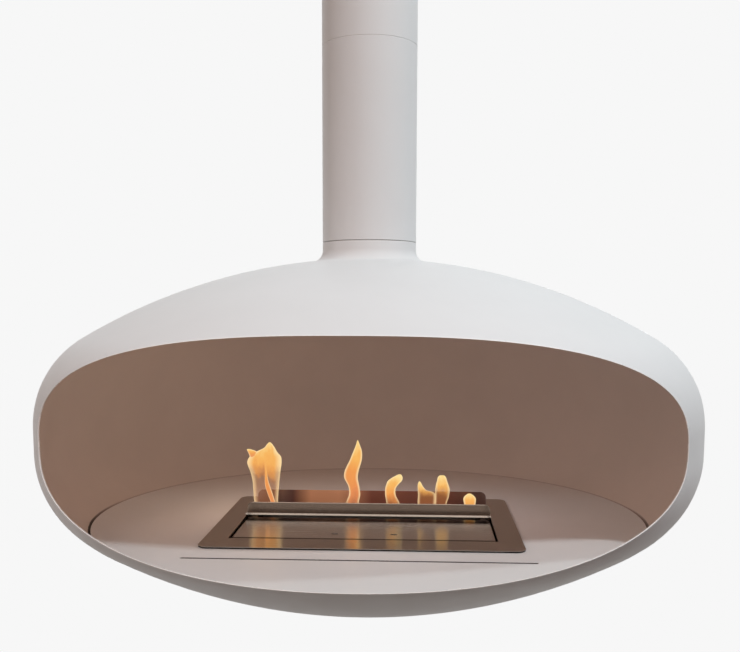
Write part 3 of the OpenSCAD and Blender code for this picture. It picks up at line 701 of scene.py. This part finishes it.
# Each flame's outline, seen from the front, and how far up it is clear, from 0 to 1. The outline's
# rows are the height, the left edge and the right edge, in millimetres.
FLAMES = {
    "flame_1": ([
        (-166, -172, -140), (-142, -173, -143), (-130, -187, -149), (-112, -190, -149),
        (-93, -191, -147), (-78, -194, -145), (-63, -199, -143), (-53, -195, -144),
        (-46, -186, -150), (-39, -172, -154), (-33, -167, -158), (-30, -164, -161),
    ], 0.66),
    "flame_1_lobe": ([
        (-58, -192, -184), (-53, -195, -178), (-48, -197, -180), (-44, -199, -186),
        (-41.5, -200, -194),
    ], 0.0),
    "flame_1_stem": ([
        (-166, -157, -152), (-142, -158, -152), (-129, -161, -154), (-116, -166, -158),
        (-104, -170, -162), (-93, -171, -165), (-78, -170, -167), (-62, -171, -168.5),
        (-50, -171, -170),
    ], 0.0),
    "flame_2": ([
        (-166, -38, -16), (-142, -40, -17), (-127, -38.5, -17.8), (-114, -33.7, -15.6),
        (-100, -34.7, -17), (-86, -41.2, -19.3), (-74, -40.2, -17.8), (-58, -32.7, -13.3),
        (-44, -27, -12.8), (-34, -23, -15.5), (-24.5, -20, -19),
    ], 0.30),
    "flame_3": ([
        (-166, 28, 47), (-142, 29, 49), (-127, 27, 48), (-115, 25, 42.3), (-104, 24.9, 41.6),
        (-97, 26.5, 45.5), (-90, 29.5, 51.7), (-84.5, 37, 53), (-80, 45.5, 51),
    ], 0.55),
    "flame_4": ([
        (-166, 80, 102), (-142, 79, 103), (-126, 77.5, 106), (-114, 78, 106), (-108.5, 77.7, 103),
        (-105, 77.4, 92), (-99, 77.3, 86), (-94, 77.8, 83.5), (-90.5, 79.6, 81),
    ], 0.78),
    "flame_5": ([
        (-166, 106, 120), (-142, 105, 122), (-126, 105.5, 124.5), (-116, 105.5, 127.5),
        (-104, 105.5, 129), (-96, 106.5, 127), (-89, 108.5, 124.4), (-84, 109.5, 123),
        (-81, 112, 120.5),
    ], 0.75),
    "flame_6": ([
        (-166, 156, 168), (-142, 154, 169), (-128, 152.5, 170.5), (-119, 151, 171.2),
        (-114, 153, 168.5), (-110, 158, 163.5),
    ], 0.0),
}
FLAME_DEPTH, FLAME_LEAST, FLAME_MOST = 0.42, 0.0012, 0.0075  # half depth: share of half width
FLAME_TIP = 0.0004  # how far the closing points stand out at foot and tip
SWAY, SWAY_RATE, SWAY_SHIFT = 0.002, 90, 7  # forward and back along a flame's height
FLAME_RIM = srgb(255, 232, 180)
FLAME_CORE = [  # from the foot to the tip
    (0.0, srgb(214, 130, 90)), (0.35, srgb(231, 143, 88)), (0.62, srgb(241, 157, 84)),
    (0.84, srgb(248, 184, 98)), (1.0, srgb(255, 224, 150)),
]


def flame_material():
    """Glowing gas: cream along the outline and at the tip, orange inside, clear at the foot.

    The mesh carries across (-1 at the left edge, 1 at the right), rise (0 at the foot, 1 at the
    tip), clear (the share that is clear) and above (metres over the flame's foot)."""
    n = Nodes("flame_glow")
    across, rise, clear, above = (
        n.add("Attribute", attribute_name=key).outputs["Fac"]
        for key in ("across", "rise", "clear", "above")
    )
    flicker = n.noise(n.place((60, 60, 25)), scale=1, rough=0.6)
    drift = n.span(flicker, -0.10, 0.10, a=0.25, b=0.75)
    edge = n.math("SMOOTH_MIN", n.math("ABSOLUTE", across), 1.0)
    rim = n.span(edge, 0, 1, a=0.62, b=0.97)
    height = n.math("ADD", rise, drift)
    glow = n.mix(n.math("MULTIPLY", rim, 0.9), n.ramp(height, FLAME_CORE), FLAME_RIM)
    veil = n.span(n.math("SUBTRACT", height, clear), 0.10, 0.94, a=-0.10, b=0.12)
    alpha = n.math("MAXIMUM", n.math("MULTIPLY", rim, 0.62), veil)
    out_of_slot = n.span(above, 0, 1, a=0.026, b=0.040)
    shader = n.shader((0, 0, 0, 1), 1.0, Specular_IOR_Level=0.0, Emission_Strength=1.0)
    n.link(glow, shader.inputs["Emission Color"])
    n.link(n.math("MULTIPLY", alpha, out_of_slot), shader.inputs["Alpha"])
    return n.owner


def smooth_rows(rows, count):
    """The outline's rows resampled along a smooth curve through them (Catmull-Rom)."""
    table = np.array(rows, float)
    padded = np.vstack([2 * table[0] - table[1], table, 2 * table[-1] - table[-2]])
    made = []
    for t in np.linspace(0, len(table) - 1.0, count):
        i = min(int(t), len(table) - 2)
        u = t - i
        a, b, c, d = padded[i:i + 4]
        made.append(0.5 * (2 * b + (c - a) * u + (2 * a - 5 * b + 4 * c - d) * u * u
                           + (3 * b - a - 3 * c + d) * u**3))
    return np.array(made)


def make_flame(name, rows, clear, material, count=56, around=28):
    """A closed tube through the outline, thinner from front to back than across."""
    table = smooth_rows(rows, count) / 1000
    height = table[:, 0] - table[0, 0]
    verts, faces = [], []
    shades = {"across": [], "rise": [], "above": [], "clear": []}

    def vert(place, across, rise, z):
        verts.append(place)
        for key, value in (("across", across), ("rise", rise), ("above", z - FLAME_ROOT),
                           ("clear", clear)):
            shades[key].append(value)

    for row, (z, left, right) in enumerate(table):
        half = max((right - left) / 2, 0.0002)
        deep = min(FLAME_DEPTH * half + FLAME_LEAST, half, FLAME_MOST)
        sway = SWAY * sin(SWAY_RATE * z + SWAY_SHIFT * left)
        for k in range(around):
            angle = 2 * pi * k / around
            x, y = (left + right) / 2 + half * cos(angle), FLAME_Y + sway + deep * sin(angle)
            vert((x, y, WAIST + z), cos(angle), height[row] / height[-1], z)
    for row in range(count - 1):
        a, b = row * around, (row + 1) * around
        for k in range(around):
            m = (k + 1) % around
            faces.append((a + k, a + m, b + m, b + k))
    for row, up in ((0, -1), (count - 1, 1)):
        ring = range(row * around, (row + 1) * around)
        x, y, z = np.mean([verts[i] for i in ring], axis=0)
        vert((x, y, z + up * FLAME_TIP), 0.0, (up + 1) / 2, z - WAIST)
        for a, b in zip(ring, [*ring[1:], ring[0]]):
            faces.append((a, b, len(verts) - 1) if up > 0 else (b, a, len(verts) - 1))
    mesh = new_mesh(name, verts, faces, [material])
    for key, values in shades.items():
        mesh.attributes.new(key, "FLOAT", "POINT").data.foreach_set("value", values)
    flame = new_object(name, mesh)
    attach(flame, "burner")
    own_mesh(flame)


flame_glow = flame_material()
for flame_name, (flame_rows, flame_clear) in FLAMES.items():
    make_flame(flame_name, flame_rows, flame_clear, flame_glow)

# ------------------------------------------------------------------ the fibre pad in the tank
PAD_COLUMNS, PAD_ROWS = 120, 40
PAD_INSET, PAD_CROWN = 0.0006, 0.0016
PAD_SOFT, PAD_FALL = 0.006, 0.55  # width of its soft edge, and the edge's depth as a share of it
LUMP_SCALE, LUMP_HEIGHT = 90, 0.0005


def edge_drop(distance):
    """How far the pad's faces fall away at a distance from its side."""
    t = min(1, distance / PAD_SOFT)
    return PAD_SOFT * PAD_FALL * (1 - sqrt(max(0, 1 - (1 - t) ** 2)))


def make_pad():
    """The pad that soaks up the fuel: a crowned block of matted fibre with soft edges."""
    low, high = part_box("absorbent_pad")
    width, depth = high.x - low.x - 2 * PAD_INSET, high.y - low.y - 2 * PAD_INSET
    verts, faces = [], []
    for layer in ("under", "upper"):
        for j in range(PAD_ROWS + 1):
            for i in range(PAD_COLUMNS + 1):
                u, v = i / PAD_COLUMNS, j / PAD_ROWS
                x, y = low.x + PAD_INSET + width * u, low.y + PAD_INSET + depth * v
                side = min(x - low.x, high.x - x, y - low.y, high.y - y) - PAD_INSET
                z = low.z + edge_drop(side)
                if layer == "upper":
                    fall = PAD_CROWN * (1 - 16 * u * (1 - u) * v * (1 - v))
                    spot = Vector((x, y, 0.3)) * LUMP_SCALE
                    lump = LUMP_HEIGHT * noise.fractal(spot, 0.9, 2.2, 5)
                    z = high.z - PAD_INSET - fall - edge_drop(side) + lump
                    z = min(z, high.z - 0.0001)
                verts.append((x, y, z))
    wide = PAD_COLUMNS + 1
    size = wide * (PAD_ROWS + 1)
    for j in range(PAD_ROWS):
        for i in range(PAD_COLUMNS):
            a = j * wide + i
            b = a + size
            faces.append((a, a + wide, a + wide + 1, a + 1))
            faces.append((b, b + 1, b + wide + 1, b + wide))
    rim = list(range(PAD_COLUMNS)) + [PAD_COLUMNS + j * wide for j in range(PAD_ROWS)]
    rim += [PAD_ROWS * wide + i for i in range(PAD_COLUMNS, 0, -1)]
    rim += [j * wide for j in range(PAD_ROWS, 0, -1)]
    for a, b in zip(rim, rim[1:] + rim[:1]):
        faces.append((a, b, b + size, a + size))
    pad = new_object("fibre_pad", new_mesh("fibre_pad", verts, faces, [wool]))
    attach(pad, "burner")
    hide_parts("absorbent_pad")


make_pad()

# ------------------------------------------------------------------ stage and light
BACKGROUND = srgb(247, 247, 247)
FLOOR_RADIUS, FLOOR_HEIGHT, FLOOR_SIDES = 2.6, -2.4, 96
FLOOR_GLOW = 0.85  # how much of what the camera sees of the floor is its own pale colour

# Broad coloured glows of the studio surround: direction that each comes from, sharpness, colour.
GLOWS = {
    "above": ((0, 0, 1), 1.0, (0.22, 0.23, 0.245)),
    "below": ((0, 0, -1), 1.0, (0.05, 0.04, 0.032)),
    "left": ((-1, 0, 0), 2.0, (0.22, 0.20, 0.19)),
    "right": ((1, 0, 0), 2.0, (0.16, 0.16, 0.16)),
    "back": ((0, 1, 0), 2.0, (0.62, 0.61, 0.60)),
}
# Lamps: place, target, width, watts, colour. The first two make the shadow edges on the hearth.
LAMPS = {
    "key": ((1.64, -0.52, 1.56), (0, 0, -0.9), 0.22, 15.4, (0.86, 0.985, 1.0)),
    "second": ((1.10, -1.63, 1.37), (0, 0, -0.9), 0.25, 34.4, (0.905, 0.97, 1.0)),
    "front_right": ((1.3, -2.3, 0.3), (0, 0, -0.7), 1.2, 3.0, (1.0, 0.2, 0.15)),
    "front_left": ((-1.4, -2.2, 0.2), (0, 0, -0.7), 1.2, 13.6, (1.0, 0.69, 0.55)),
    "rear": ((-0.9, 2.8, -0.3), (0, 0, -0.8), 1.4, 9.0, (1.0, 0.98, 0.96)),
}
# Warm lamps at the flames that light the chamber: place, radius, watts, colour.
FIRE_LAMPS = {
    "fire_left": ((-0.16, 0.02, -0.86), 0.10, 0.45, (1.0, 0.73, 0.53)),
    "fire_middle": ((0.05, 0.02, -0.88), 0.10, 0.46, (1.0, 0.91, 0.96)),
}


def through_camera(n):
    """1 for rays that the camera sees straight, mirrored or through glass."""
    path = n.add("LightPath")
    seen = n.math("MAXIMUM", path.outputs["Is Camera Ray"], path.outputs["Is Glossy Ray"])
    return n.math("MAXIMUM", seen, path.outputs["Is Transmission Ray"])


def make_stage():
    """A round pale floor well under the shell. It sends warm light up, as a wooden floor does."""
    n = Nodes("floor_pale")
    cloud = n.noise(n.place(), scale=1.5, detail=2)
    pale = n.mottle(cloud, srgb(232, 230, 228), srgb(236, 234, 232))
    warm = n.mottle(cloud, srgb(138, 120, 108), srgb(146, 128, 114))
    seen = through_camera(n)
    surface = n.shader(n.mix(seen, warm, pale), 0.9, Specular_IOR_Level=0.1)
    glow = n.add("Emission")
    glow.inputs["Color"].default_value = BACKGROUND
    blend = n.add("MixShader")
    n.link(n.math("MULTIPLY", seen, FLOOR_GLOW), blend.inputs[0])
    n.link(surface.outputs["BSDF"], blend.inputs[1])
    n.link(glow.outputs["Emission"], blend.inputs[2])
    n.link(blend.outputs["Shader"], n.out.inputs["Surface"])
    angles = [2 * pi * i / FLOOR_SIDES for i in range(FLOOR_SIDES)]
    ring = [(FLOOR_RADIUS * cos(a), FLOOR_RADIUS * sin(a), FLOOR_HEIGHT) for a in angles]
    mesh = new_mesh("floor", ring, [tuple(range(FLOOR_SIDES))], [n.owner])
    new_object("floor", mesh)


def make_world():
    """Soft studio surround made of the broad glows; the camera and mirrors see plain white."""
    SCENE.world = bpy.data.worlds.new("studio")
    n = Nodes("studio", SCENE.world)
    direction = n.add("TexCoord").outputs["Generated"]
    total = None
    for axis, sharpness, colour in GLOWS.values():
        facing = n.add("VectorMath", operation="DOT_PRODUCT")
        facing.inputs[1].default_value = axis
        n.link(direction, facing.inputs[0])
        lobe = n.math("POWER", n.math("MAXIMUM", facing.outputs["Value"], 0.0), sharpness)
        glow = n.add("VectorMath", operation="SCALE")
        glow.inputs[0].default_value = colour
        n.link(lobe, glow.inputs["Scale"])
        if total is None:
            total = glow.outputs["Vector"]
            continue
        both = n.add("VectorMath", operation="ADD")
        n.link(total, both.inputs[0])
        n.link(glow.outputs["Vector"], both.inputs[1])
        total = both.outputs["Vector"]
    studio = n.add("Background")
    n.link(total, studio.inputs["Color"])
    plain = n.add("Background")
    plain.inputs["Color"].default_value = BACKGROUND
    blend = n.add("MixShader")
    n.link(through_camera(n), blend.inputs[0])
    n.link(studio.outputs["Background"], blend.inputs[1])
    n.link(plain.outputs["Background"], blend.inputs[2])
    n.link(blend.outputs["Shader"], n.out.inputs["Surface"])


def add_lamp(name, kind, place, watts, colour):
    """A lamp that lights the object, and that neither the camera nor polished metal sees."""
    data = bpy.data.lights.new(name, kind)
    data.energy = watts
    data.color = colour
    lamp = new_object(name, data)
    lamp.location = place
    lamp.visible_camera = lamp.visible_glossy = False
    return lamp


make_stage()
make_world()
for lamp_name, (spot, target, lamp_width, watts, colour) in LAMPS.items():
    lamp = add_lamp(lamp_name, "AREA", spot, watts, colour)
    lamp.data.shape = "DISK"
    lamp.data.size = lamp_width
    facing = Vector(target) - Vector(spot)
    lamp.rotation_euler = facing.to_track_quat("-Z", "Y").to_euler()
for lamp_name, (spot, lamp_radius, watts, colour) in FIRE_LAMPS.items():
    lamp = add_lamp(lamp_name, "POINT", spot, watts, colour)
    lamp.data.shadow_soft_size = lamp_radius

SCENE.view_settings.view_transform = "Standard"
